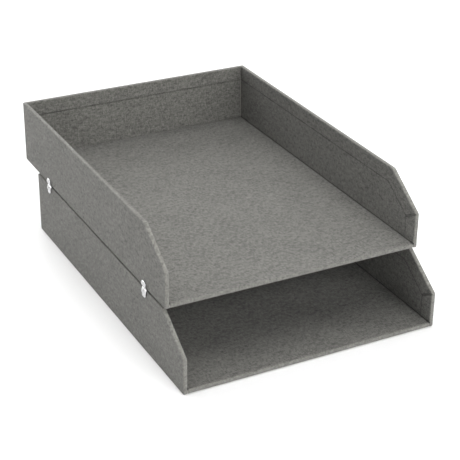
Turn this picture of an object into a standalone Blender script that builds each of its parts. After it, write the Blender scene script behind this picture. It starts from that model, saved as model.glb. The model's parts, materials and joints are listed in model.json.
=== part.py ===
"""Two open-fronted letter trays of cloth-covered board, the upper one standing on four folded
spring clips that grip the side walls of the lower one.

Frame: metres, +Z up, -Y the open front. The origin is on the surface that the lower tray
stands on, under the middle of the pair. Touching sheets keep a gap of GAP between them.
"""

import math

import bmesh
import bpy
from mathutils import Vector

# One tray, outside
TRAY_WIDTH = 0.247
TRAY_LENGTH = 0.335
TRAY_HEIGHT = 0.0615
FRONT_HEIGHT = 0.0335
SLOPE_RUN = 0.041
SET_BACK = 0.0335

# Sheets
WALL_BOARD = 0.0024
BASE_BOARD = 0.0028
CLOTH = 0.00045
STAY_TAPE = 0.00025
GAP = 0.0003
TURN_IN = 0.0145
TURN_UNDER = 0.015
STAY_LEG = 0.014
CORNER_RADIUS = 0.0012

# Stacking clips
STRIP = 0.0006
CLIP_WIDTH = 0.009
CLIP_INSET = 0.034
CLIP_LEG_DEPTH = 0.0082
TONGUE_REACH = 0.0065
TONGUE_BULGE = 0.00175
TONGUE_TIP = 0.0012
TONGUE_TOUCH_HEIGHT = 0.8 * TONGUE_REACH
TONGUE_BULGE_HEIGHT = 0.4 * TONGUE_REACH
TONGUE_TOUCH_RADIUS = 0.001
TONGUE_BULGE_RADIUS = 0.002
CLIP_MOUTH = 0.0007
CLIP_MOUTH_RADIUS = 0.0006
ARC_STEP = math.radians(24)

# Worked out from the above
HALF_WIDTH = TRAY_WIDTH / 2
HALF_LENGTH = TRAY_LENGTH / 2
SLOPE = math.atan2(TRAY_HEIGHT - FRONT_HEIGHT, SLOPE_RUN)
BOARD_FACE = CLOTH + GAP
BOARD_BACK = BOARD_FACE + WALL_BOARD
LINING_BACK = BOARD_BACK + GAP
WALL = LINING_BACK + CLOTH
MID_BOARD = BOARD_FACE + WALL_BOARD / 2
BASE_TOP = BOARD_FACE + BASE_BOARD
LINING_LOW = BASE_TOP + GAP
FLOOR = LINING_LOW + CLOTH
STACK_GAP = 2 * STRIP + 3 * GAP
OVER = 0.01

TRAYS = {
    "lower": Vector((0, -SET_BACK / 2, 0)),
    "upper": Vector((0, SET_BACK / 2, TRAY_HEIGHT + STACK_GAP)),
}


def clear_scene():
    for obj in list(bpy.data.objects):
        bpy.data.objects.remove(obj, do_unlink=True)


def make_material(name, colour, roughness, metallic=0.0):
    material = bpy.data.materials.new(name)
    material.use_nodes = True
    shader = material.node_tree.nodes["Principled BSDF"]
    shader.inputs["Base Color"].default_value = (*colour, 1.0)
    shader.inputs["Roughness"].default_value = roughness
    shader.inputs["Metallic"].default_value = metallic
    return material


def add_object(name, bm, material, location=(0, 0, 0)):
    bmesh.ops.recalc_face_normals(bm, faces=bm.faces)
    mesh = bpy.data.meshes.new(name)
    bm.to_mesh(mesh)
    bm.free()
    mesh.materials.append(material)
    obj = bpy.data.objects.new(name, mesh)
    obj.location = location
    bpy.context.scene.collection.objects.link(obj)
    return obj


def extruded(corners, along):
    """A solid: the flat outline through corners, pushed along a vector."""
    bm = bmesh.new()
    face = bm.faces.new([bm.verts.new(corner) for corner in corners])
    pushed = bmesh.ops.extrude_face_region(bm, geom=[face])
    verts = [item for item in pushed["geom"] if isinstance(item, bmesh.types.BMVert)]
    bmesh.ops.translate(bm, vec=Vector(along), verts=verts)
    return bm


def side_prism(outline, x_low, x_high):
    """A solid between two X planes, from an outline in Y and Z."""
    return extruded([(x_low, y, z) for y, z in outline], (x_high - x_low, 0, 0))


def plan_prism(outline, z_low, z_high):
    """A solid between two heights, from an outline in X and Y."""
    return extruded([(x, y, z_low) for x, y in outline], (0, 0, z_high - z_low))


def box(low, high):
    outline = [(low[0], low[1]), (high[0], low[1]), (high[0], high[1]), (low[0], high[1])]
    return plan_prism(outline, low[2], high[2])


def free_edge(inset):
    """Points of a side wall's front, slope and top edges, all moved inwards by inset."""
    front = -HALF_LENGTH + inset
    low_bend = FRONT_HEIGHT - inset * math.tan((math.pi / 2 - SLOPE) / 2)
    high_bend = -HALF_LENGTH + SLOPE_RUN + inset * math.tan(SLOPE / 2)
    return [(front, low_bend), (high_bend, TRAY_HEIGHT - inset)]


def wall_outline(inset, back, bottom):
    """A side wall's outline in Y and Z, inset at its free edges."""
    low_bend, high_bend = free_edge(inset)
    return [
        (low_bend[0], bottom),
        low_bend,
        high_bend,
        (back, TRAY_HEIGHT - inset),
        (back, bottom),
    ]


def add_cutter(name, bm, location):
    cutter = add_object(name, bm, LOOKS["board"], location)
    cutter.hide_render = True
    cutter.display_type = "WIRE"
    return cutter


def cut(obj, cutter):
    modifier = obj.modifiers.new(cutter.name, "BOOLEAN")
    modifier.operation = "DIFFERENCE"
    modifier.solver = "EXACT"
    modifier.object = cutter


def mirrored(outline, side):
    return [(side * x, y) for x, y in outline]


# ---- Board shell -------------------------------------------------------------------------------


def corner_ell(side, outer, thickness, leg):
    """An L in X and Y at a back corner: its outer faces are outer inside the tray's sides."""
    x, y = HALF_WIDTH - outer, HALF_LENGTH - outer
    outline = [
        (x, y),
        (x, y - leg),
        (x - thickness, y - leg),
        (x - thickness, y - thickness),
        (x - leg, y - thickness),
        (x - leg, y),
    ]
    return mirrored(outline, side)


def add_stay(prefix, place, side, word):
    """The tape that ties a side board to the back board, and the rebate that it lies in."""
    low, high = BOARD_FACE, TRAY_HEIGHT - BOARD_FACE
    tape = plan_prism(corner_ell(side, BOARD_FACE, STAY_TAPE, STAY_LEG), low, high)
    add_object(f"{prefix}_{word}_corner_stay", tape, LOOKS["paper"], place)
    depth = STAY_TAPE + GAP + BOARD_FACE
    pocket = plan_prism(corner_ell(side, 0, depth, STAY_LEG + BOARD_FACE + GAP), -OVER, OVER + high)
    return add_cutter(f"{prefix}_{word}_stay_pocket", pocket, place)


def add_boards(prefix, place):
    low, back = BOARD_FACE, HALF_LENGTH - BOARD_FACE
    inner = HALF_WIDTH - BOARD_BACK
    pockets = []
    for side, word in ((-1, "left"), (1, "right")):
        pocket = add_stay(prefix, place, side, word)
        outline = wall_outline(BOARD_FACE, back, low)
        board = side_prism(outline, side * inner, side * (HALF_WIDTH - BOARD_FACE))
        cut(add_object(f"{prefix}_{word}_board", board, LOOKS["board"], place), pocket)
        pockets.append(pocket)
    between = inner - GAP
    corners = (-between, HALF_LENGTH - BOARD_BACK, low), (between, back, TRAY_HEIGHT - BOARD_FACE)
    back_board = add_object(f"{prefix}_back_board", box(*corners), LOOKS["board"], place)
    for pocket in pockets:
        cut(back_board, pocket)
    front = -HALF_LENGTH + BOARD_FACE
    corners = (-between, front, low), (between, HALF_LENGTH - BOARD_BACK - GAP, BASE_TOP)
    add_object(f"{prefix}_base_board", box(*corners), LOOKS["board"], place)


# ---- Covering ----------------------------------------------------------------------------------


def round_back_corners(bm, inset, radius):
    """Rounds the two upright edges at the back of a solid whose back corners are inset."""
    x, y = HALF_WIDTH - inset, HALF_LENGTH - inset

    def at_corner(vert):
        return abs(abs(vert.co.x) - x) < GAP / 2 and abs(vert.co.y - y) < GAP / 2

    edges = [edge for edge in bm.edges if all(at_corner(vert) for vert in edge.verts)]
    edges = [edge for edge in edges if abs(edge.verts[0].co.z - edge.verts[1].co.z) > GAP]
    bmesh.ops.bevel(
        bm,
        geom=edges,
        offset=radius,
        offset_type="OFFSET",
        segments=3,
        profile=0.5,
        affect="EDGES",
        material=-1,
    )


def slot_cutter(prefix, place):
    """The U-shaped room inside the covering that the three wall boards stand in."""
    reach = HALF_WIDTH - CLOTH
    slot = side_prism(wall_outline(CLOTH, HALF_LENGTH - CLOTH, CLOTH), -reach, reach)
    round_back_corners(slot, CLOTH, CORNER_RADIUS - CLOTH)
    inside = HALF_WIDTH - LINING_BACK
    corners = (-inside, -HALF_LENGTH - OVER, -OVER), (inside, HALF_LENGTH - LINING_BACK, OVER + TRAY_HEIGHT)
    core = add_cutter(f"{prefix}_wall_slot_core", box(*corners), place)
    cutter = add_cutter(f"{prefix}_wall_slot", slot, place)
    cut(cutter, core)
    return cutter


def lining_window_cutter(prefix, place):
    """What the covering leaves bare inside: all below its turned-in border."""
    low_bend, high_bend = free_edge(TURN_IN)
    back = HALF_LENGTH - MID_BOARD
    outline = [
        (-HALF_LENGTH + CLOTH, CLOTH),
        (-HALF_LENGTH + CLOTH, LINING_LOW),
        (low_bend[0], LINING_LOW),
        low_bend,
        high_bend,
        (back, TRAY_HEIGHT - TURN_IN),
        (back, CLOTH),
    ]
    reach = HALF_WIDTH - MID_BOARD
    return add_cutter(f"{prefix}_lining_window", side_prism(outline, -reach, reach), place)


def underside_cutter(prefix, place):
    """What the covering leaves bare underneath: a T, wide where the floor cloth turns under."""
    front = -HALF_LENGTH
    wide, narrow = HALF_WIDTH - WALL, HALF_WIDTH - TURN_UNDER
    right_half = [
        (wide, front - OVER),
        (wide, front + TURN_UNDER + GAP),
        (narrow, front + TURN_UNDER + GAP),
        (narrow, HALF_LENGTH - TURN_UNDER),
    ]
    outline = right_half + mirrored(reversed(right_half), -1)
    return add_cutter(f"{prefix}_underside_bare", plan_prism(outline, -OVER, OVER), place)


def add_outer_wrap(prefix, place):
    """One cloth round the outside of the walls, over their edges, and turned in and under."""
    outline = wall_outline(0, HALF_LENGTH, 0)
    wrap = side_prism(outline, -HALF_WIDTH, HALF_WIDTH)
    round_back_corners(wrap, 0, CORNER_RADIUS)
    obj = add_object(f"{prefix}_outer_wrap", wrap, LOOKS["cloth"], place)
    inside = HALF_WIDTH - WALL
    corners = (-inside, -HALF_LENGTH - OVER, CLOTH), (inside, HALF_LENGTH - WALL, OVER + TRAY_HEIGHT)
    room = add_cutter(f"{prefix}_room", box(*corners), place)
    cut(obj, room)
    cut(obj, slot_cutter(prefix, place))
    cut(obj, lining_window_cutter(prefix, place))
    cut(obj, underside_cutter(prefix, place))


def add_linings(prefix, place):
    back = HALF_LENGTH - WALL
    for side, word in ((-1, "left"), (1, "right")):
        outline = wall_outline(TURN_IN + GAP, HALF_LENGTH - LINING_BACK, LINING_LOW)
        lining = side_prism(outline, side * (HALF_WIDTH - WALL), side * (HALF_WIDTH - LINING_BACK))
        add_object(f"{prefix}_{word}_lining", lining, LOOKS["cloth"], place)
    between = HALF_WIDTH - WALL - GAP
    corners = (-between, back, LINING_LOW), (between, back + CLOTH, TRAY_HEIGHT - TURN_IN - GAP)
    add_object(f"{prefix}_back_lining", box(*corners), LOOKS["cloth"], place)
    front = -HALF_LENGTH
    round_the_base = [
        (front, 0),
        (front, FLOOR),
        (back - GAP, FLOOR),
        (back - GAP, LINING_LOW),
        (front + CLOTH, LINING_LOW),
        (front + CLOTH, CLOTH),
        (front + TURN_UNDER, CLOTH),
        (front + TURN_UNDER, 0),
    ]
    add_object(
        f"{prefix}_floor_lining",
        side_prism(round_the_base, -between, between),
        LOOKS["cloth"],
        place,
    )


def add_underside_sheet(prefix, place):
    reach = HALF_WIDTH - TURN_UNDER - GAP
    front = -HALF_LENGTH + TURN_UNDER + 2 * GAP
    corners = (-reach, front, 0), (reach, HALF_LENGTH - TURN_UNDER - GAP, CLOTH)
    add_object(f"{prefix}_underside_sheet", box(*corners), LOOKS["paper"], place)


# ---- Stacking clips ----------------------------------------------------------------------------


def rounded_path(corners):
    """Points along a path of straight runs whose corners, (place, radius), are round arcs."""
    places = [Vector(place) for place, _ in corners]
    path = [places[0]]
    for before, at, after, (_, radius) in zip(places, places[1:], places[2:], corners[1:]):
        arriving, leaving = (at - before).normalized(), (after - at).normalized()
        turn = arriving.angle_signed(leaving)
        start = at - arriving * radius * math.tan(abs(turn) / 2)
        across = Vector((arriving.y, -arriving.x)) * math.copysign(radius, turn)
        steps = max(2, math.ceil(abs(turn) / ARC_STEP))
        for step in range(steps + 1):
            angle = abs(turn) * step / steps
            point = start + across * (1 - math.cos(angle)) + arriving * radius * math.sin(angle)
            if (point - path[-1]).length > STRIP / 50:
                path.append(point)
    path.append(places[-1])
    return path


def strip_outline(path, thickness):
    """The outline of a strip of even thickness that follows a path."""
    sides = ([], [])
    for index, point in enumerate(path):
        before = path[max(index - 1, 0)]
        after = path[min(index + 1, len(path) - 1)]
        runs = [run.normalized() for run in (point - before, after - point) if run.length]
        normals = [Vector((-run.y, run.x)) for run in runs]
        mean = sum(normals, Vector((0, 0))).normalized()
        offset = mean * thickness / 2 / mean.dot(normals[0])
        sides[0].append(point + offset)
        sides[1].append(point - offset)
    return sides[0] + sides[1][::-1]


def clip_path():
    """The clip's middle line, outwards from the wall's outer face and up from its top edge.

    From the upper tongue's tip it bulges down to the gap between the trays, runs inwards over
    the wall, down its inner face, doubles back on itself, and leaves for the lower tongue.
    """
    near = GAP + STRIP / 2
    far = near + STRIP + GAP
    down = -CLIP_LEG_DEPTH
    hairpin = (far - near) / 2
    tongue = [
        ((TONGUE_TIP, TONGUE_REACH), 0),
        ((near, TONGUE_TOUCH_HEIGHT), TONGUE_TOUCH_RADIUS),
        ((TONGUE_BULGE, TONGUE_BULGE_HEIGHT), TONGUE_BULGE_RADIUS),
    ]
    upper = [((u, STACK_GAP + z), radius) for (u, z), radius in tongue]
    lower = [((u, -z), radius) for (u, z), radius in reversed(tongue)]
    fold = [
        ((CLIP_MOUTH, far), CLIP_MOUTH_RADIUS),
        ((-WALL - far, far), far),
        ((-WALL - far, down), hairpin),
        ((-WALL - near, down), hairpin),
        ((-WALL - near, near), near),
        ((CLIP_MOUTH, near), CLIP_MOUTH_RADIUS),
    ]
    return rounded_path(upper + fold + lower)


def add_clips():
    outline = strip_outline(clip_path(), STRIP)
    lower = TRAYS["lower"]
    rear = HALF_LENGTH - CLIP_INSET
    front = -HALF_LENGTH + SLOPE_RUN + CLIP_INSET
    for side, side_word in ((-1, "left"), (1, "right")):
        for y, end_word in ((rear, "rear"), (front, "front")):
            corners = [(side * u, -CLIP_WIDTH / 2, z) for u, z in outline]
            bm = extruded(corners, (0, CLIP_WIDTH, 0))
            place = lower + Vector((side * HALF_WIDTH, y, TRAY_HEIGHT))
            add_object(f"{side_word}_{end_word}_clip", bm, LOOKS["nickel"], place)


clear_scene()
LOOKS = {
    "cloth": make_material("heathered_linen", (0.21, 0.205, 0.19), 0.9),
    "board": make_material("grey_board", (0.32, 0.30, 0.27), 0.95),
    "paper": make_material("lining_paper", (0.12, 0.12, 0.115), 0.85),
    "nickel": make_material("nickel_plate", (0.72, 0.70, 0.66), 0.25, 1.0),
}
for tray_prefix, tray_place in TRAYS.items():
    add_boards(tray_prefix, tray_place)
    add_outer_wrap(tray_prefix, tray_place)
    add_linings(tray_prefix, tray_place)
    add_underside_sheet(tray_prefix, tray_place)
add_clips()
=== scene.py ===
import json
import math

import bmesh
import bpy
from mathutils import Matrix, Vector

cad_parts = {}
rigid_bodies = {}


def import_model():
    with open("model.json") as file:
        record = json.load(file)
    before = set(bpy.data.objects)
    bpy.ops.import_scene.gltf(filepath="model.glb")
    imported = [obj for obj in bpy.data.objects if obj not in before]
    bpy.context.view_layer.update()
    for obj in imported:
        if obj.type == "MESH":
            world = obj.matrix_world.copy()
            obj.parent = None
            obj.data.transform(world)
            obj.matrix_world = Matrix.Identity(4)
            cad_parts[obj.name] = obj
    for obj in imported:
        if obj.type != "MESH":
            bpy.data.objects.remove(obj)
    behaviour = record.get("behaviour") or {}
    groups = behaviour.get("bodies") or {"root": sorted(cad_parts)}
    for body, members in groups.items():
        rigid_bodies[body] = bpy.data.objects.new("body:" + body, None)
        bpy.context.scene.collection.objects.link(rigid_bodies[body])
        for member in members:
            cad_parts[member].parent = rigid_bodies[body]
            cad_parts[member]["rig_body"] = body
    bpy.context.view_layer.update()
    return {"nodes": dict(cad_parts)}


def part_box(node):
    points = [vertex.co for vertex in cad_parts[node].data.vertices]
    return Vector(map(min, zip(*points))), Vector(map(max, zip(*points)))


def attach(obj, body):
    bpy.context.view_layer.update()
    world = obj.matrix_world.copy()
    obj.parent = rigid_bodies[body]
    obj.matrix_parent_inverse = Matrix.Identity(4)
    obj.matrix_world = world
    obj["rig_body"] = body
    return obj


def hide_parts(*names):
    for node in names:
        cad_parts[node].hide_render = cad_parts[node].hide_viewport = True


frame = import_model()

# ---- Sizes of one tray, in metres --------------------------------------------------------------

CLOTH = 0.00045  # thickness of the covering cloth
LINING = 0.0002  # thickness of the panels inside the walls
THREAD = 0.00055  # width of one thread of the weave
GAP = 0.0003  # clearance between glued pieces, and between a clip and what it holds
TURN_IN = 0.0145
TURN_UNDER = 0.015
FRONT_HEIGHT = 0.0335
SLOPE_RUN = 0.041
RIM_RADIUS = 0.0011
FOOT_RADIUS = 0.0013
LOW_BEND_RADIUS = 0.0022
HIGH_BEND_RADIUS = 0.0015
CORNER_RADIUS = 0.0012
FLOOR_EDGE_RADIUS = 0.0015
BORDER_GROOVE = 0.0003  # between the turned-in border and the lining
MITRE_SLIT = 0.0003

CLOSE = 1e-5  # two places nearer than this are the same
HAIR = 1e-7  # how near a cut may pass to a corner before it joins it
MERGE = 1e-6  # corners nearer than this become one

LOWER_LOW, LOWER_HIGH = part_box("lower_outer_wrap")
UPPER_LOW, UPPER_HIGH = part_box("upper_outer_wrap")
HALF_WIDTH = (LOWER_HIGH.x - LOWER_LOW.x) / 2
HALF_LENGTH = (LOWER_HIGH.y - LOWER_LOW.y) / 2
HEIGHT = LOWER_HIGH.z - LOWER_LOW.z
WALL = HALF_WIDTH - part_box("lower_right_lining")[0].x
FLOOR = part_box("lower_floor_lining")[1].z - LOWER_LOW.z
SLOPE = math.atan2(HEIGHT - FRONT_HEIGHT, SLOPE_RUN)
INSIDE = HALF_WIDTH - WALL
BACK = HALF_LENGTH - WALL

TRAYS = {
    "lower": Vector((0, (LOWER_LOW.y + LOWER_HIGH.y) / 2, LOWER_LOW.z)),
    "upper": Vector((0, (UPPER_LOW.y + UPPER_HIGH.y) / 2, UPPER_LOW.z)),
}

# Planes along a side wall's free edges: a point on each, and the way out of the wall.
TOP = (Vector((0, 0, HEIGHT)), Vector((0, 0, 1)))
FRONT = (Vector((0, -HALF_LENGTH, 0)), Vector((0, -1, 0)))
SLOPED = (
    Vector((0, -HALF_LENGTH, FRONT_HEIGHT)),
    Vector((0, -math.sin(SLOPE), math.cos(SLOPE))),
)

# The mitre between two borders of cloth at the low bend: the way in from the bend, and across it.
MITRE_IN = -(SLOPED[1] + FRONT[1]).normalized()
MITRE_ACROSS = Vector((0, -MITRE_IN.z, MITRE_IN.y))

# ---- Materials ---------------------------------------------------------------------------------


class Value:
    """A socket that takes part in Python sums: each sum adds its Math node."""

    def __init__(self, shader, socket):
        self.shader = shader
        self.socket = socket

    def maths(self, operation, *others):
        values = [other.socket if isinstance(other, Value) else other for other in others]
        sockets = {0: self.socket, **dict(enumerate(values, 1))}
        return self.shader.add("ShaderNodeMath", {"operation": operation}, sockets)

    def __add__(self, other):
        return self.maths("ADD", other)

    __radd__ = __add__

    def __mul__(self, other):
        return self.maths("MULTIPLY", other)

    __rmul__ = __mul__

    def __sub__(self, other):
        return self.maths("SUBTRACT", other)

    def __rsub__(self, other):
        return (self * -1) + other

    def __truediv__(self, other):
        return self.maths("DIVIDE", other)

    def least(self, other):
        return self.maths("MINIMUM", other)

    def most(self, other):
        return self.maths("MAXIMUM", other)

    def held(self):
        """The value kept between 0 and 1."""
        return self.most(0.0).least(1.0)

    def whole(self):
        return self.maths("FLOOR")

    def part(self):
        return self.maths("FRACT")

    def cosine(self):
        return self.maths("COSINE")

    def size(self):
        return self.maths("ABSOLUTE")

    def rest(self, divisor):
        return self.maths("FLOORED_MODULO", divisor)

    def fade(self, start, end):
        """0 at start and 1 at end, and straight between them."""
        return ((self - start) / (end - start)).held()


OBJECT_OUTPUT = 3  # Texture Coordinate's socket for Object coordinates
MIX_FACTOR, MIX_FIRST, MIX_SECOND, MIX_RESULT = 0, 6, 7, 2  # the Mix node's sockets for a colour


class Shader:
    """A material with one Principled shader, and the nodes that feed it."""

    def __init__(self, name):
        self.material = bpy.data.materials.new(name)
        self.material.use_nodes = True
        self.nodes = self.material.node_tree.nodes
        self.links = self.material.node_tree.links
        self.surface = self.nodes["Principled BSDF"]

    def add(self, kind, settings=None, inputs=None, output=0):
        node = self.nodes.new(kind)
        for key, value in (settings or {}).items():
            if key == "stops":
                self.set_stops(node.color_ramp, value)
            else:
                setattr(node, key, value)
        for key, value in (inputs or {}).items():
            self.put(node.inputs[key], value)
        return Value(self, node.outputs[output])

    def put(self, socket, value):
        if isinstance(value, Value):
            value = value.socket
        if isinstance(value, bpy.types.NodeSocket):
            self.links.new(value, socket)
        else:
            socket.default_value = value

    def set_stops(self, ramp, stops):
        while len(ramp.elements) < len(stops):
            ramp.elements.new(1.0)
        for element, (place, tint) in zip(ramp.elements, stops):
            element.position = place
            element.color = (*tint, 1)

    def feed(self, **sockets):
        for name, value in sockets.items():
            self.put(self.surface.inputs[name.replace("_", " ")], value)

    def parts_of(self, vector):
        node = self.nodes.new("ShaderNodeSeparateXYZ")
        self.put(node.inputs[0], vector)
        return [Value(self, output) for output in node.outputs]

    def joined(self, x, y, z=0.0):
        return self.add("ShaderNodeCombineXYZ", None, {0: x, 1: y, 2: z})

    def noise(self, vector, scale, detail=2.0, roughness=0.5):
        inputs = {"Vector": vector, "Scale": scale, "Detail": detail, "Roughness": roughness}
        return self.add("ShaderNodeTexNoise", None, inputs)

    def placed(self, vector, scale=(1, 1, 1), location=(0, 0, 0)):
        inputs = {"Vector": vector, "Scale": scale, "Location": location}
        return self.add("ShaderNodeMapping", None, inputs)

    def object_place(self):
        return self.add("ShaderNodeTexCoord", None, None, OBJECT_OUTPUT)

    def blend(self, share, first, second):
        """A colour between two, the second where share is 1."""
        node = self.nodes.new("ShaderNodeMix")
        node.data_type = "RGBA"
        for index, value in ((MIX_FACTOR, share), (MIX_FIRST, first), (MIX_SECOND, second)):
            self.put(node.inputs[index], value)
        return Value(self, node.outputs[MIX_RESULT])

    def bump(self, height, distance, strength=1.0):
        inputs = {"Height": height, "Distance": distance, "Strength": strength}
        return self.add("ShaderNodeBump", None, inputs)


def colour(red, green, blue):
    return (red, green, blue, 1)


CLOTH_DARK = colour(0.0592, 0.0586, 0.0537)
CLOTH_MID = colour(0.127, 0.1247, 0.114)
CLOTH_LIGHT = colour(0.2035, 0.2008, 0.184)
# Pale cloth: rubbed wear, and the painted highlights on the creases at the bends and front feet.
CLOTH_WORN_AND_LIT = colour(0.290, 0.2867, 0.2627)
# The colour of the painted shade in the seams' grooves and in the joint of floor and wall.
CLOTH_PAINTED_SHADE = colour(0.030, 0.030, 0.028)


# The weave: how many marks of each kind to the metre, and how much each counts in the tone.
THREAD_STREAKS = 230
THREAD_STEP = 0.37  # moves each thread to its own stretch of the noise
SLUB_ACROSS, SLUB_ALONG = 1000, 330
SPECKLE = 1000.0
CLOUDS = 28.0
THREAD_WEIGHT, SPECKLE_WEIGHT, HOLLOW_SHADE_WEIGHT = 2.4, 0.95, 0.28
CLOUD_WEIGHT, SLUB_WEIGHT = 0.30, 0.16
WEAVE_DEPTH = 0.00012

# Where the cloth is rubbed and pulled pale, with painted highlights on its creases, as distances
# from a free edge.
RUB_START, RUB_END = 0.0002, 0.0017
PULL_START, PULL_END = 0.0015, 0.0075
PULL_DEPTH = (0.0008, 0.0045)
PULLED_AND_LIT_SHARE, RUBBED_SHARE, HANDLED_SHARE = 0.8, 0.4, 0.4
RUBS = 420.0  # to the metre
CREASES = (300, 900, 900)

# The painted shade along the seams and the joint of floor and wall, as distances from each one's
# middle.
BORDER_LINE = (0.0002, 0.0009)
MITRE_LINE = (0.0003, 0.0012)
SEAM_DARKNESS = 0.97
UNEVENNESS = 70.0  # changes of darkness to the metre
INNER_REACH = 0.0008  # how far behind an inner face it still counts as inside the tray
SHARP_LINE = 0.0002  # over which one zone gives way to the next
ABOVE_FLOOR = (0.0008, 0.0014)  # where the walls' own seams start
JOINT_WIDTH, JOINT_OPENING = 0.0008, 0.0013  # floor to wall, and how much the painted shade widens near the front
OPENING_PLACE, OPENING_REACH = 0.0025, (0.0008, 0.0028)  # behind the front edge


def weave(shader, threads):
    """The weave's height, its slubs, and how light each thread is, with painted shade in the
    hollows between threads.
    """
    across, along, _ = shader.parts_of(threads)
    warp_place, weft_place = across / THREAD, along / THREAD
    warp, weft = warp_place.whole(), weft_place.whole()
    on_top = (warp + weft).rest(2.0)
    warp_off, weft_off = warp_place.part() - 0.5, weft_place.part() - 0.5
    warp_round = 1 - warp_off * warp_off * 4
    weft_round = 1 - weft_off * weft_off * 4
    warp_height = warp_round * (0.55 + 0.45 * (weft_off * math.pi).cosine())
    weft_height = weft_round * (0.55 + 0.45 * (warp_off * math.pi).cosine())
    height = warp_height * on_top + weft_height * (1 - on_top)

    def streaks(thread, place, seed):
        along_it = shader.joined(thread * THREAD_STEP, place * THREAD_STREAKS, seed)
        return shader.noise(along_it, 1.0, 3.0, 0.6)

    def thick_places(x, y, seed):
        return shader.noise(shader.joined(x, y, seed), 1.0, 2.0, 0.55)

    thread_tone = streaks(warp, along, 0.0) * on_top + streaks(weft, across, 7.3) * (1 - on_top)
    slub_warp = thick_places(across * SLUB_ACROSS, along * SLUB_ALONG, 0.0)
    slub_weft = thick_places(across * SLUB_ALONG, along * SLUB_ACROSS, 3.1)
    slubs = slub_warp.most(slub_weft).fade(0.52, 0.74)
    speckle = shader.noise(threads, SPECKLE, 2.0, 0.6)
    cloudy = shader.noise(threads, CLOUDS, 3.0, 0.55)
    # The tone is darker where the weave is low: painted shade in the hollows between threads.
    tone = (
        (thread_tone - 0.5) * THREAD_WEIGHT + (speckle - 0.5) * SPECKLE_WEIGHT
        + (height - 0.5) * HOLLOW_SHADE_WEIGHT + (cloudy - 0.5) * CLOUD_WEIGHT + 0.5
    )
    return height, slubs, tone


def linen(name, origin):
    """Heathered linen book cloth, a plain weave that is paler where it is pulled over an edge, with
    painted highlights on its creases and painted shade along its seams and in its weave's hollows.
    """
    shader = Shader(name)
    threads = shader.add("ShaderNodeUVMap", {"uv_map": "threads"})
    height, slubs, tone = weave(shader, threads)
    base = shader.add(
        "ShaderNodeValToRGB",
        {"stops": [(0.12, CLOTH_DARK[:3]), (0.5, CLOTH_MID[:3]), (0.88, CLOTH_LIGHT[:3])]},
        {0: tone + slubs * SLUB_WEIGHT},
    )

    local = shader.placed(shader.object_place(), location=tuple(-origin))
    x, y, z = shader.parts_of(local)
    below_top = HEIGHT - z
    behind_front = y + HALF_LENGTH
    above_bend = z - FRONT_HEIGHT
    under_slope = behind_front * math.sin(SLOPE) - above_bend * math.cos(SLOPE)
    from_edge = below_top.least(behind_front).least(under_slope)

    # Rubbed along the free edges, and pulled pale at the bends and the front feet, with painted
    # highlights on the creases there.
    rubbed = shader.noise(local, RUBS, 3.0, 0.6).fade(0.35, 0.65)
    worn_and_lit = (1 - from_edge.size().fade(RUB_START, RUB_END)) * (0.15 + 0.85 * rubbed)
    handled = 1 - under_slope.size().fade(RUB_START, RUB_END)
    behind = behind_front.size()
    low_bend = behind + above_bend.size()
    high_bend = (behind_front - SLOPE_RUN).size() + below_top.size()
    front_foot = behind + z.size()
    crease_highlights = shader.noise(shader.placed(local, CREASES), 1.0, 2.0, 0.5).fade(0.42, 0.60)
    tight = 1 - low_bend.least(high_bend).least(front_foot).fade(PULL_START, PULL_END)
    worn_and_lit = worn_and_lit.most(tight * crease_highlights * (1 - from_edge.fade(*PULL_DEPTH)) * PULLED_AND_LIT_SHARE)

    # Painted shade along the border's groove, the mitre and the joint of floor and wall, inside the
    # tray.
    inside_sides = (INSIDE + INNER_REACH - x.size()).fade(0.0, SHARP_LINE)
    within = inside_sides * (BACK + INNER_REACH - y).fade(0.0, SHARP_LINE)
    on_wall = within * (z - FLOOR).fade(*ABOVE_FLOOR)
    border = 1 - (from_edge - (TURN_IN + BORDER_GROOVE / 2)).size().fade(*BORDER_LINE)
    mitre_off = behind_front * MITRE_ACROSS.y + above_bend * MITRE_ACROSS.z
    in_border = 1 - from_edge.fade(TURN_IN, TURN_IN + BORDER_GROOVE)
    mitre = (1 - mitre_off.size().fade(*MITRE_LINE)) * in_border
    uneven = 0.45 + 0.55 * shader.noise(local, UNEVENNESS, 2.0, 0.5).fade(0.35, 0.6)
    near_front = 1 - (behind - OPENING_PLACE).size().fade(*OPENING_REACH)
    joint_shade_width = JOINT_WIDTH + JOINT_OPENING * near_front
    from_joint = (INSIDE - x.size()).size().most((z - FLOOR).size())
    joint = 1 - (from_joint / joint_shade_width).fade(0.3, 1.0)
    painted_shade = (border.most(mitre) * on_wall * uneven).most(joint * within)

    # Paled by wear and by the painted crease highlights, then darkened by the painted shade of the
    # seams.
    pale = shader.blend(worn_and_lit * (RUBBED_SHARE + HANDLED_SHARE * handled), base, CLOTH_WORN_AND_LIT)
    shader.feed(
        Base_Color=shader.blend(painted_shade * SEAM_DARKNESS, pale, CLOTH_PAINTED_SHADE),
        Roughness=0.88 + 0.10 * (1 - height) - worn_and_lit * 0.08,
        Normal=shader.bump(height + slubs * 0.5, WEAVE_DEPTH, 0.8),
        Sheen_Weight=0.12,
        Sheen_Roughness=0.5,
        Specular_IOR_Level=0.25,
    )
    return shader.material


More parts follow.
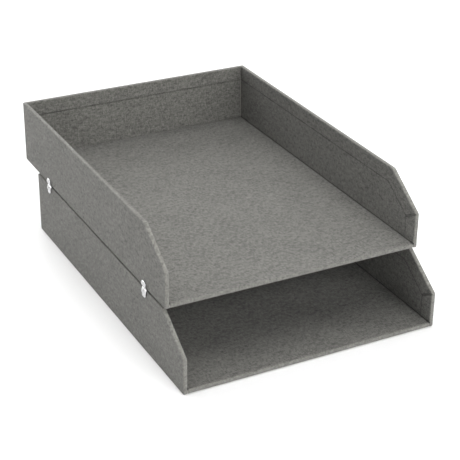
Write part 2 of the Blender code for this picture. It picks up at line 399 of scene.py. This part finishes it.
def grey_board(name):
    """Pressed grey board: pulp, faint streaks along the sheet, and small dark flecks."""
    shader = Shader(name)
    place = shader.object_place()
    pulp = shader.noise(place, 900.0, 4.0, 0.7)
    streaks = shader.noise(shader.placed(place, (40, 700, 40)), 1.0, 3.0, 0.5)
    flecks = shader.noise(place, 2600.0, 1.0, 0.5).fade(0.66, 0.72)
    grain = pulp * 0.6 + streaks * 0.4
    dark, middle, light = (0.235, 0.222, 0.200), (0.318, 0.300, 0.270), (0.40, 0.38, 0.345)
    stops = [(0.25, dark), (0.55, middle), (0.8, light)]
    tone = shader.add("ShaderNodeValToRGB", {"stops": stops}, {0: grain})
    shader.feed(
        Base_Color=shader.blend(flecks * 0.5, tone, colour(0.12, 0.11, 0.10)),
        Roughness=0.86 + 0.12 * pulp,
        Normal=shader.bump(grain, 0.00008, 0.7),
    )
    return shader.material


def lining_paper(name):
    """Dark embossed lining paper: a fine pebble, long fibres, and slight marks of standing."""
    shader = Shader(name)
    place = shader.object_place()
    inputs = {"Vector": place, "Scale": 1500.0}
    pebble = shader.add("ShaderNodeTexVoronoi", {"feature": "SMOOTH_F1"}, inputs)
    fibres = shader.noise(shader.placed(place, (260, 1900, 260)), 1.0, 3.0, 0.6)
    marks = shader.noise(place, 22.0, 4.0, 0.6).fade(0.5, 0.75)
    tone = shader.blend(fibres, colour(0.070, 0.070, 0.067), colour(0.130, 0.130, 0.124))
    shader.feed(
        Base_Color=shader.blend(marks * 0.35, tone, colour(0.20, 0.198, 0.188)),
        Roughness=0.68 + 0.22 * fibres - marks * 0.08,
        Normal=shader.bump(pebble * -1 + fibres * 0.3, 0.00006, 0.6),
    )
    return shader.material


def nickel(name):
    """Bright nickel on rolled spring steel: fine drawing lines, small pits and a few dull rubs."""
    shader = Shader(name)
    place = shader.object_place()
    drawn = shader.noise(shader.placed(place, (3000, 3000, 220)), 1.0, 3.0, 0.6)
    rubs = shader.noise(place, 480.0, 3.0, 0.6).fade(0.5, 0.72)
    pits = shader.noise(place, 3200.0, 1.0, 0.5).fade(0.7, 0.76)
    tone = shader.blend(drawn, colour(0.50, 0.50, 0.50), colour(0.62, 0.62, 0.625))
    shader.feed(
        Base_Color=shader.blend(pits * 0.6 + rubs * 0.15, tone, colour(0.30, 0.29, 0.28)),
        Roughness=0.17 + 0.10 * drawn + rubs * 0.12,
        Metallic=1.0,
        Normal=shader.bump(drawn * 0.5 - pits, 0.00001, 0.6),
    )
    return shader.material


# ---- Mesh work ---------------------------------------------------------------------------------


def geometry(bm):
    return bm.verts[:] + bm.edges[:] + bm.faces[:]


def polygon(bm, points):
    return bm.faces.new([bm.verts.new(point) for point in points])


def pulled(bm, faces, way):
    """Draws faces out into a solid."""
    out = bmesh.ops.extrude_face_region(bm, geom=faces)["geom"]
    moved = [item for item in out if isinstance(item, bmesh.types.BMVert)]
    bmesh.ops.translate(bm, verts=moved, vec=way)


def rounded(bm, edges, offset, segments):
    bmesh.ops.bevel(
        bm,
        geom=edges,
        offset=offset,
        offset_type="OFFSET",
        segments=segments,
        profile=0.5,
        affect="EDGES",
        material=-1,
        clamp_overlap=True,
    )


def lay_threads(bm):
    """Writes each face's place in the weave, in metres along the two threads."""
    layer = bm.loops.layers.uv.verify()
    for face in bm.faces:
        turned = [abs(part) for part in face.normal]
        for loop in face.loops:
            x, y, z = loop.vert.co
            if turned[0] >= max(turned[1], turned[2]):
                loop[layer].uv = (y, z)
            elif turned[1] >= turned[2]:
                loop[layer].uv = (x, z)
            else:
                loop[layer].uv = (x, y)


def finish_piece(name, bm, material, body, replaced, origin=Vector(), threads=False):
    bmesh.ops.remove_doubles(bm, verts=bm.verts, dist=MERGE)
    if all(edge.is_manifold for edge in bm.edges):
        bmesh.ops.recalc_face_normals(bm, faces=bm.faces)
    bmesh.ops.transform(bm, matrix=Matrix.Translation(origin), verts=bm.verts)
    if threads:
        lay_threads(bm)
    mesh = bpy.data.meshes.new(name)
    bm.to_mesh(mesh)
    bm.free()
    if threads:
        mesh.uv_layers[0].name = "threads"
    piece = bpy.data.objects.new(name, mesh)
    bpy.context.scene.collection.objects.link(piece)
    mesh.materials.append(material)
    for face in mesh.polygons:
        face.use_smooth = True
    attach(piece, body)
    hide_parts(*replaced)
    return piece


# ---- Cloth pieces ------------------------------------------------------------------------------


SHARP = 50  # degrees between two faces, past which an edge is rounded
UPRIGHT = 0.05  # a normal's share along an axis that it is square to
BEND_SEGMENTS, RIM_SEGMENTS, FOOT_SEGMENTS = 5, 3, 2


def inwards(plane, distance):
    point, normal = plane
    return point - normal * distance, normal


def depth(plane, point):
    """How far a point lies inside a plane."""
    return (plane[0] - point).dot(plane[1])


def edge_along(edge, test):
    return all(test(vert.co) for vert in edge.verts)


def wall_ring():
    """The three walls as one U on plan, with the slope cut off the side walls."""
    bm = bmesh.new()
    outline = [
        (-HALF_WIDTH, -HALF_LENGTH, 0), (-INSIDE, -HALF_LENGTH, 0), (-INSIDE, BACK, 0),
        (INSIDE, BACK, 0), (INSIDE, -HALF_LENGTH, 0), (HALF_WIDTH, -HALF_LENGTH, 0),
        (HALF_WIDTH, HALF_LENGTH, 0), (-HALF_WIDTH, HALF_LENGTH, 0),
    ]
    pulled(bm, [polygon(bm, outline)], (0, 0, HEIGHT))
    bmesh.ops.bisect_plane(
        bm, geom=geometry(bm), dist=HAIR, plane_co=SLOPED[0], plane_no=SLOPED[1], clear_outer=True
    )
    bmesh.ops.holes_fill(bm, edges=[edge for edge in bm.edges if edge.is_boundary], sides=0)
    bmesh.ops.recalc_face_normals(bm, faces=bm.faces)
    return bm


def upright_at(x, y):
    def test(edge):
        a, b = (vert.co for vert in edge.verts)
        tall = abs(a.z - b.z) > FRONT_HEIGHT / 3
        return tall and all(abs(abs(p.x) - x) < CLOSE and abs(p.y - y) < CLOSE for p in (a, b))
    return test


def across_at(y, z):
    def test(edge):
        return edge_along(edge, lambda p: abs(p.y - y) < CLOSE and abs(p.z - z) < CLOSE)
    return test


def in_floor_gap(point):
    """True in the opening between the walls' feet, with a little to spare."""
    return abs(point.x) < INSIDE + 10 * CLOSE and point.y < BACK + 10 * CLOSE


def outer_cloth(prefix, origin, material):
    """One cloth round the walls: up the outside, over the rim and slope, and down inside."""
    bm = wall_ring()
    low_turn = (math.pi / 2 - SLOPE) / 2
    for place, radius, turn in (
        ((-HALF_LENGTH, FRONT_HEIGHT), LOW_BEND_RADIUS, low_turn),
        ((-HALF_LENGTH + SLOPE_RUN, HEIGHT), HIGH_BEND_RADIUS, SLOPE / 2),
    ):
        bends = list(filter(across_at(*place), bm.edges))
        rounded(bm, bends, radius * math.tan(turn), BEND_SEGMENTS)
    corners = list(filter(upright_at(HALF_WIDTH, HALF_LENGTH), bm.edges))
    rounded(bm, corners, CORNER_RADIUS, RIM_SEGMENTS)

    def is_free(face):
        normal = face.normal
        faces_out = normal.z > UPRIGHT or normal.y < UPRIGHT - 1
        back_wall = abs(face.calc_center_median().y - BACK) < 10 * CLOSE and normal.z < UPRIGHT
        return abs(normal.x) < UPRIGHT and faces_out and not back_wall

    free = {face for face in bm.faces if is_free(face)}
    rims = [
        edge for edge in bm.edges
        if len(edge.link_faces) == 2 and len(free.intersection(edge.link_faces)) == 1
        and max(vert.co.z for vert in edge.verts) > CLOSE
    ]
    rounded(bm, rims, RIM_RADIUS, RIM_SEGMENTS)
    feet = [
        edge for edge in bm.edges
        if len(edge.link_faces) == 2 and edge_along(edge, lambda p: abs(p.z) < CLOSE)
        and any(face.normal.z > -0.5 for face in edge.link_faces)
        and not edge_along(edge, in_floor_gap)
    ]
    rounded(bm, feet, FOOT_RADIUS, FOOT_SEGMENTS)
    turn_in(bm)
    turn_under(bm)
    solid_cloth(f"{prefix}_cloth_cover", bm, material, prefix, f"{prefix}_outer_wrap", origin)


def inner_face(face):
    """True for the side of a wall that looks into the tray."""
    centre = face.calc_center_median()
    on_side = abs(abs(centre.x) - INSIDE) < 2 * CLOSE and abs(face.normal.x) > 0.99
    at_back = abs(centre.y - BACK) < 2 * CLOSE and abs(centre.x) < INSIDE
    return on_side or (at_back and abs(face.normal.y) > 0.99)


def cut_inner(bm, point, normal):
    faces = list(filter(inner_face, bm.faces))
    edges = {edge for face in faces for edge in face.edges}
    verts = {vert for face in faces for vert in face.verts}
    bmesh.ops.bisect_plane(
        bm, geom=[*verts, *edges, *faces], dist=HAIR, plane_co=point, plane_no=normal
    )


def turn_in(bm):
    """Leaves only the border of cloth inside the walls, with a mitre seam at each low bend."""
    lines = [inwards(plane, TURN_IN) for plane in (TOP, SLOPED, FRONT)]
    for line in lines:
        cut_inner(bm, *line)
    bend = Vector((0, -HALF_LENGTH, FRONT_HEIGHT))
    for side in (-1, 1):
        cut_inner(bm, bend + MITRE_ACROSS * side * MITRE_SLIT / 2, MITRE_ACROSS)
    cut_inner(bm, Vector((0, 0, FLOOR - CLOTH)), Vector((0, 0, 1)))

    def bare(face):
        centre = face.calc_center_median()
        return centre.z < FLOOR - CLOTH or all(depth(line, centre) > 0 for line in lines)

    def in_slit(face):
        offset = face.calc_center_median() - bend
        offset.x = 0
        near = abs(offset.dot(MITRE_ACROSS)) < MITRE_SLIT / 2
        return near and offset.dot(MITRE_IN) > RIM_RADIUS

    unwanted = [face for face in bm.faces if inner_face(face) and (bare(face) or in_slit(face))]
    bmesh.ops.delete(bm, geom=unwanted, context="FACES")


def turn_under(bm):
    """Widens the foot of the walls to the border glued beneath, behind the floor cloth's own."""
    start = -HALF_LENGTH + TURN_UNDER + GAP
    foot = [
        face for face in bm.faces
        if face.normal.z < -0.99 and face.calc_center_median().z < CLOSE
    ]
    items = {item for face in foot for item in (face, *face.edges, *face.verts)}
    bmesh.ops.bisect_plane(
        bm, geom=list(items), dist=HAIR, plane_co=(0, start, 0), plane_no=(0, 1, 0)
    )

    def beside_floor(point):
        return abs(abs(point.x) - INSIDE) < CLOSE and point.y > start - CLOSE

    def inner_foot(edge):
        on_side = edge_along(edge, beside_floor)
        on_back = edge_along(edge, lambda p: abs(p.y - BACK) < CLOSE)
        return edge_along(edge, lambda p: abs(p.z) < CLOSE) and (on_side or on_back)

    edges = [edge for edge in bm.edges if len(edge.link_faces) == 1 and inner_foot(edge)]
    out = bmesh.ops.extrude_edge_only(bm, edges=edges)["geom"]
    limit = HALF_WIDTH - TURN_UNDER
    for vert in (item for item in out if isinstance(item, bmesh.types.BMVert)):
        vert.co.x = max(-limit, min(limit, vert.co.x))
        vert.co.y = min(HALF_LENGTH - TURN_UNDER, vert.co.y)


def solid_cloth(name, bm, material, prefix, node, origin):
    """Gives a sheet its thickness on the side away from what shows."""
    piece = finish_piece(
        name, bm, material, f"{prefix}_tray", (node,), origin, threads=True
    )
    solid = piece.modifiers.new("thickness", "SOLIDIFY")
    solid.thickness = CLOTH
    solid.offset = -1
    solid.use_even_offset = True
    soft_edges(piece, CLOTH / 4)


def soft_edges(piece, width):
    """Rounds what is still sharp, and keeps the flat faces flat in the light."""
    edge = piece.modifiers.new("soft edge", "BEVEL")
    edge.width = width
    edge.segments = 2
    edge.limit_method = "ANGLE"
    edge.angle_limit = math.radians(SHARP)
    even = piece.modifiers.new("even light", "WEIGHTED_NORMAL")
    even.keep_sharp = True


def floor_cloth():
    """The floor's cloth: flat inside, rolled over the front edge and glued beneath."""
    bm = bmesh.new()
    reach = INSIDE - GAP
    line = [
        (BACK - GAP, FLOOR), (-HALF_LENGTH, FLOOR), (-HALF_LENGTH, 0),
        (-HALF_LENGTH + TURN_UNDER, 0),
    ]
    verts = [bm.verts.new((-reach, y, z)) for y, z in line]
    edges = [bm.edges.new(pair) for pair in zip(verts, verts[1:])]
    out = bmesh.ops.extrude_edge_only(bm, edges=edges)["geom"]
    moved = [item for item in out if isinstance(item, bmesh.types.BMVert)]
    bmesh.ops.translate(bm, verts=moved, vec=(2 * reach, 0, 0))
    folds = [edge for edge in bm.edges if len(edge.link_faces) == 2]
    rounded(bm, folds, FLOOR_EDGE_RADIUS, BEND_SEGMENTS)
    bmesh.ops.recalc_face_normals(bm, faces=bm.faces)
    if max(bm.faces, key=lambda face: face.calc_area()).normal.z < 0:
        bmesh.ops.reverse_faces(bm, faces=bm.faces)
    return bm


def wall_linings(prefix, origin, material):
    """Three cloth panels inside the walls, which stop short of the turned-in border."""
    inset = TURN_IN + BORDER_GROOVE
    low = -HALF_LENGTH + inset, FRONT_HEIGHT - inset * math.tan((math.pi / 2 - SLOPE) / 2)
    high = -HALF_LENGTH + SLOPE_RUN + inset * math.tan(SLOPE / 2), HEIGHT - inset
    foot = FLOOR - CLOTH
    back = BACK + CLOTH
    for side, word in ((-1, "left"), (1, "right")):
        bm = bmesh.new()
        outline = [(low[0], foot), low, high, (back, high[1]), (back, foot)]
        points = [(side * (INSIDE + CLOTH - LINING), y, z) for y, z in outline]
        pulled(bm, [polygon(bm, points)], (side * LINING, 0, 0))
        panel(f"{prefix}_{word}_lining", bm, material, prefix, origin)
    bm = bmesh.new()
    across = INSIDE - GAP
    points = [(-across, BACK + CLOTH - LINING, foot), (across, BACK + CLOTH - LINING, foot)]
    points += [(x, y, HEIGHT - inset) for x, y, _ in reversed(points)]
    pulled(bm, [polygon(bm, points)], (0, LINING, 0))
    panel(f"{prefix}_back_lining", bm, material, prefix, origin)


def panel(node, bm, material, prefix, origin):
    piece = finish_piece(
        f"{node}_cloth", bm, material, f"{prefix}_tray", (node,), origin, threads=True
    )
    soft_edges(piece, LINING / 4)


# ---- Stacking clips ----------------------------------------------------------------------------

STRIP = 0.0006  # the room that the folded strip takes
SHOWN_STRIP = 0.00045  # the steel itself
TONGUE_TIP = (0.0012, 0.0065)  # each tongue's tip, out from the wall's face and along it
TONGUE_TOUCH, TOUCH_RADIUS = 0.0052, 0.001  # where a tongue presses on the tray
BULGE_OUT, BULGE_HEIGHT, BULGE_RADIUS = 0.00175, 0.0026, 0.002
CLIP_LEG = 0.0082  # how far the strip reaches down inside the wall
CLIP_MOUTH, MOUTH_RADIUS = 0.0001, 0.0006
TIP_RADIUS, TIP_CUTS = 0.0032, 8
CROWN = 0.0005  # how much nearer the tray a tongue's long edges lie than its middle
GROOVE_DEPTH, GROOVE_PLACE, GROOVE_REACH = 0.0002, -0.0011, 0.0009
CLIP_COLUMNS = 24
FOLD_STACK = 2 * STRIP + 3 * GAP  # the height of the strip's two layers between the trays


def clip_line():
    """The clip's middle line with each bend's radius, as in the wall's own directions."""
    near, far = GAP + STRIP / 2, GAP * 2 + STRIP * 1.5
    tongue = [
        (TONGUE_TIP, 0), ((near, TONGUE_TOUCH), TOUCH_RADIUS),
        ((BULGE_OUT, BULGE_HEIGHT), BULGE_RADIUS),
    ]
    upper = [((u, FOLD_STACK + z), radius) for (u, z), radius in tongue]
    lower = [((u, -z), radius) for (u, z), radius in reversed(tongue)]
    hairpin = (far - near) / 2
    fold = [
        ((CLIP_MOUTH, far), MOUTH_RADIUS), ((-WALL - far, far), far),
        ((-WALL - far, -CLIP_LEG), hairpin), ((-WALL - near, -CLIP_LEG), hairpin),
        ((-WALL - near, near), near), ((CLIP_MOUTH, near), MOUTH_RADIUS),
    ]
    return upper + fold + lower


BEND_STEP = 9  # degrees


def rolled_line(corners):
    """The points of a line whose corners are round."""
    places = [Vector(place) for place, _ in corners]
    points = [places[0]]
    for before, at, after, (_, radius) in zip(places, places[1:], places[2:], corners[1:]):
        arriving, leaving = (at - before).normalized(), (after - at).normalized()
        turn = arriving.angle_signed(leaving)
        start = at - arriving * radius * math.tan(abs(turn) / 2)
        across = Vector((arriving.y, -arriving.x)) * math.copysign(radius, turn)
        steps = max(4, math.ceil(abs(turn) / math.radians(BEND_STEP)))
        for step in range(steps + 1):
            angle = abs(turn) * step / steps
            point = start + across * (1 - math.cos(angle)) + arriving * radius * math.sin(angle)
            if (point - points[-1]).length > STRIP / 50:
                points.append(point)
    return points + [places[-1]]


def round_tips(bm, low_y, high_y, tips):
    """Rounds the corners of both tongues, seen from the side of the tray."""
    for y, towards in ((low_y, -1), (high_y, 1)):
        for z, up in tips:
            centre = Vector((0, y - towards * TIP_RADIUS, z - up * TIP_RADIUS))
            for cut in range(1, TIP_CUTS):
                angle = math.pi / 2 * cut / TIP_CUTS
                way = Vector((0, towards * math.cos(angle), up * math.sin(angle)))
                outside = [
                    face for face in bm.faces if abs(face.calc_center_median().x) > HALF_WIDTH
                ]
                items = {item for face in outside for item in (face, *face.edges, *face.verts)}
                bmesh.ops.bisect_plane(
                    bm, geom=list(items), dist=HAIR, clear_outer=True,
                    plane_co=centre + way * TIP_RADIUS, plane_no=way,
                )


def press_tongues(bm, side, middle, half_width):
    """Curves each tongue across its width, edges nearer the tray, and presses a groove along it."""
    for vert in bm.verts:
        beyond = max(vert.co.z - HEIGHT - FOLD_STACK, HEIGHT - vert.co.z)
        if side * vert.co.x < HALF_WIDTH or not 0 <= beyond < 2 * BULGE_HEIGHT:
            continue
        rise = math.sin(math.pi * beyond / BULGE_HEIGHT / 2)
        across = vert.co.y - middle
        groove = max(0, 1 - ((across - GROOVE_PLACE) / GROOVE_REACH) ** 2)
        dip = CROWN * (across / half_width) ** 2 + GROOVE_DEPTH * groove
        vert.co.x -= side * rise * dip


def stacking_clip(node):
    """A strip of spring steel folded over the wall, with two sprung tongues outside."""
    low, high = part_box(node)
    side = -1 if low.x < 0 else 1
    bm = bmesh.new()
    places = rolled_line(clip_line())
    line = [(side * (HALF_WIDTH + u), low.y, HEIGHT + z) for u, z in places]
    verts = [bm.verts.new(point) for point in line]
    edges = [bm.edges.new(pair) for pair in zip(verts, verts[1:])]
    for _ in range(CLIP_COLUMNS):
        out = bmesh.ops.extrude_edge_only(bm, edges=edges)["geom"]
        moved = [item for item in out if isinstance(item, bmesh.types.BMVert)]
        edges = [
            item for item in out
            if isinstance(item, bmesh.types.BMEdge) and all(vert in moved for vert in item.verts)
        ]
        bmesh.ops.translate(bm, verts=moved, vec=(0, (high.y - low.y) / CLIP_COLUMNS, 0))
    tips = [(HEIGHT + max(z for _, z in places), 1), (HEIGHT + places[-1][1], -1)]
    press_tongues(bm, side, (low.y + high.y) / 2, (high.y - low.y) / 2)
    round_tips(bm, low.y, high.y, tips)
    body = frame["nodes"][node]["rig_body"]
    piece = finish_piece(f"{node}_strip", bm, METAL, body, (node,))
    solid = piece.modifiers.new("thickness", "SOLIDIFY")
    solid.thickness = SHOWN_STRIP
    solid.offset = 0
    solid.use_even_offset = True
    soft_edges(piece, SHOWN_STRIP * 0.3)


# ---- The object --------------------------------------------------------------------------------

METAL = nickel("nickel_plate")
BOARD = grey_board("grey_board")
PAPER = lining_paper("lining_paper")

for prefix, origin in TRAYS.items():
    cloth = linen(f"{prefix}_linen", origin)
    outer_cloth(prefix, origin, cloth)
    solid_cloth(
        f"{prefix}_floor_cloth", floor_cloth(), cloth, prefix, f"{prefix}_floor_lining", origin
    )
    wall_linings(prefix, origin, cloth)

for node in frame["nodes"]:
    if node.endswith("_clip"):
        stacking_clip(node)

for node, shown in frame["nodes"].items():
    if node.endswith("_board"):
        finish = BOARD
    elif node.endswith(("_stay", "_sheet")):
        finish = PAPER
    else:
        continue
    shown.data.materials.clear()
    shown.data.materials.append(finish)

# ---- Studio ------------------------------------------------------------------------------------


def soft_light(name, azimuth, elevation, spread, strength):
    """A far, wide lamp. Azimuth 0 is in front of the trays and 90 degrees is on their right."""
    data = bpy.data.lights.new(name, "SUN")
    data.energy = strength
    data.angle = math.radians(spread)
    azimuth, elevation = math.radians(azimuth), math.radians(elevation)
    towards = Vector((
        math.sin(azimuth) * math.cos(elevation),
        -math.cos(azimuth) * math.cos(elevation),
        math.sin(elevation),
    ))
    light = bpy.data.objects.new(name, data)
    light.rotation_euler = towards.to_track_quat("Z", "Y").to_euler()
    bpy.context.scene.collection.objects.link(light)


def stage_piece(name, bm, **sockets):
    """A plain pale piece of the studio, with its shader's sockets set."""
    mesh = bpy.data.meshes.new(name)
    bm.to_mesh(mesh)
    bm.free()
    piece = bpy.data.objects.new(name, mesh)
    bpy.context.scene.collection.objects.link(piece)
    paint = Shader(name)
    paint.feed(**sockets)
    mesh.materials.append(paint.material)
    return piece


STUDIO_REACH = 12.0
AMBIENT = 0.03
LAMPS = {  # azimuth, elevation and spread in degrees, and strength
    "front_low": (0, 15, 60, 3.3),
    "right_low": (90, 20, 60, 1.74),
    "right_high": (90, 62, 60, 0.17),
    "back": (180, 50, 70, 0.41),
    "back_low": (180, 20, 60, 3.19),
    "left_back": (-135, 40, 60, 0.69),
    "zenith": (0, 90, 50, 1.29),
}


def studio():
    """A wide pale floor, and a far pale backdrop that neither lights nor shades the trays."""
    bm = bmesh.new()
    bmesh.ops.create_grid(bm, x_segments=1, y_segments=1, size=STUDIO_REACH)
    stage_piece("studio_floor", bm, Base_Color=colour(0.93, 0.93, 0.93), Roughness=0.9)
    bm = bmesh.new()
    bmesh.ops.create_uvsphere(bm, u_segments=48, v_segments=24, radius=STUDIO_REACH)
    white, black = colour(1, 1, 1), colour(0, 0, 0)
    backdrop = stage_piece(
        "backdrop", bm, Base_Color=black, Emission_Color=white, Emission_Strength=1.0
    )
    backdrop.visible_shadow = False
    backdrop.visible_diffuse = False
    backdrop.visible_glossy = False

    world = bpy.data.worlds.new("studio")
    world.use_nodes = True
    background = world.node_tree.nodes["Background"]
    background.inputs["Color"].default_value = white
    background.inputs["Strength"].default_value = AMBIENT
    bpy.context.scene.world = world
    bpy.context.scene.view_settings.view_transform = "Standard"
    for name, lamp in LAMPS.items():
        soft_light(name, *lamp)


# The camera's direction and roll, and its place from the lower tray's middle, in metres.
AZIMUTH, ELEVATION, ROLL = math.radians(-27.590), math.radians(27.154), math.radians(0.642)
DISTANCE, TO_RIGHT, UP = 1.28324, 0.00468, 0.04212
LENS, SENSOR = 105.1865, 36.0  # millimetres


def set_camera():
    back = Vector((
        math.sin(AZIMUTH) * math.cos(ELEVATION),
        -math.cos(AZIMUTH) * math.cos(ELEVATION),
        math.sin(ELEVATION),
    ))
    right = Vector((math.cos(AZIMUTH), math.sin(AZIMUTH), 0))
    upward = back.cross(right)
    across = right * math.cos(ROLL) + upward * math.sin(ROLL)
    upright = -right * math.sin(ROLL) + upward * math.cos(ROLL)
    data = bpy.data.cameras.new("camera")
    data.sensor_width = SENSOR
    data.lens = LENS
    camera = bpy.data.objects.new("camera", data)
    turn = Matrix((across, upright, back)).transposed().to_4x4()
    place = TRAYS["lower"] + back * DISTANCE + right * TO_RIGHT + upward * UP
    camera.matrix_world = Matrix.Translation(place) @ turn
    bpy.context.scene.collection.objects.link(camera)
    bpy.context.scene.camera = camera


studio()
set_camera()
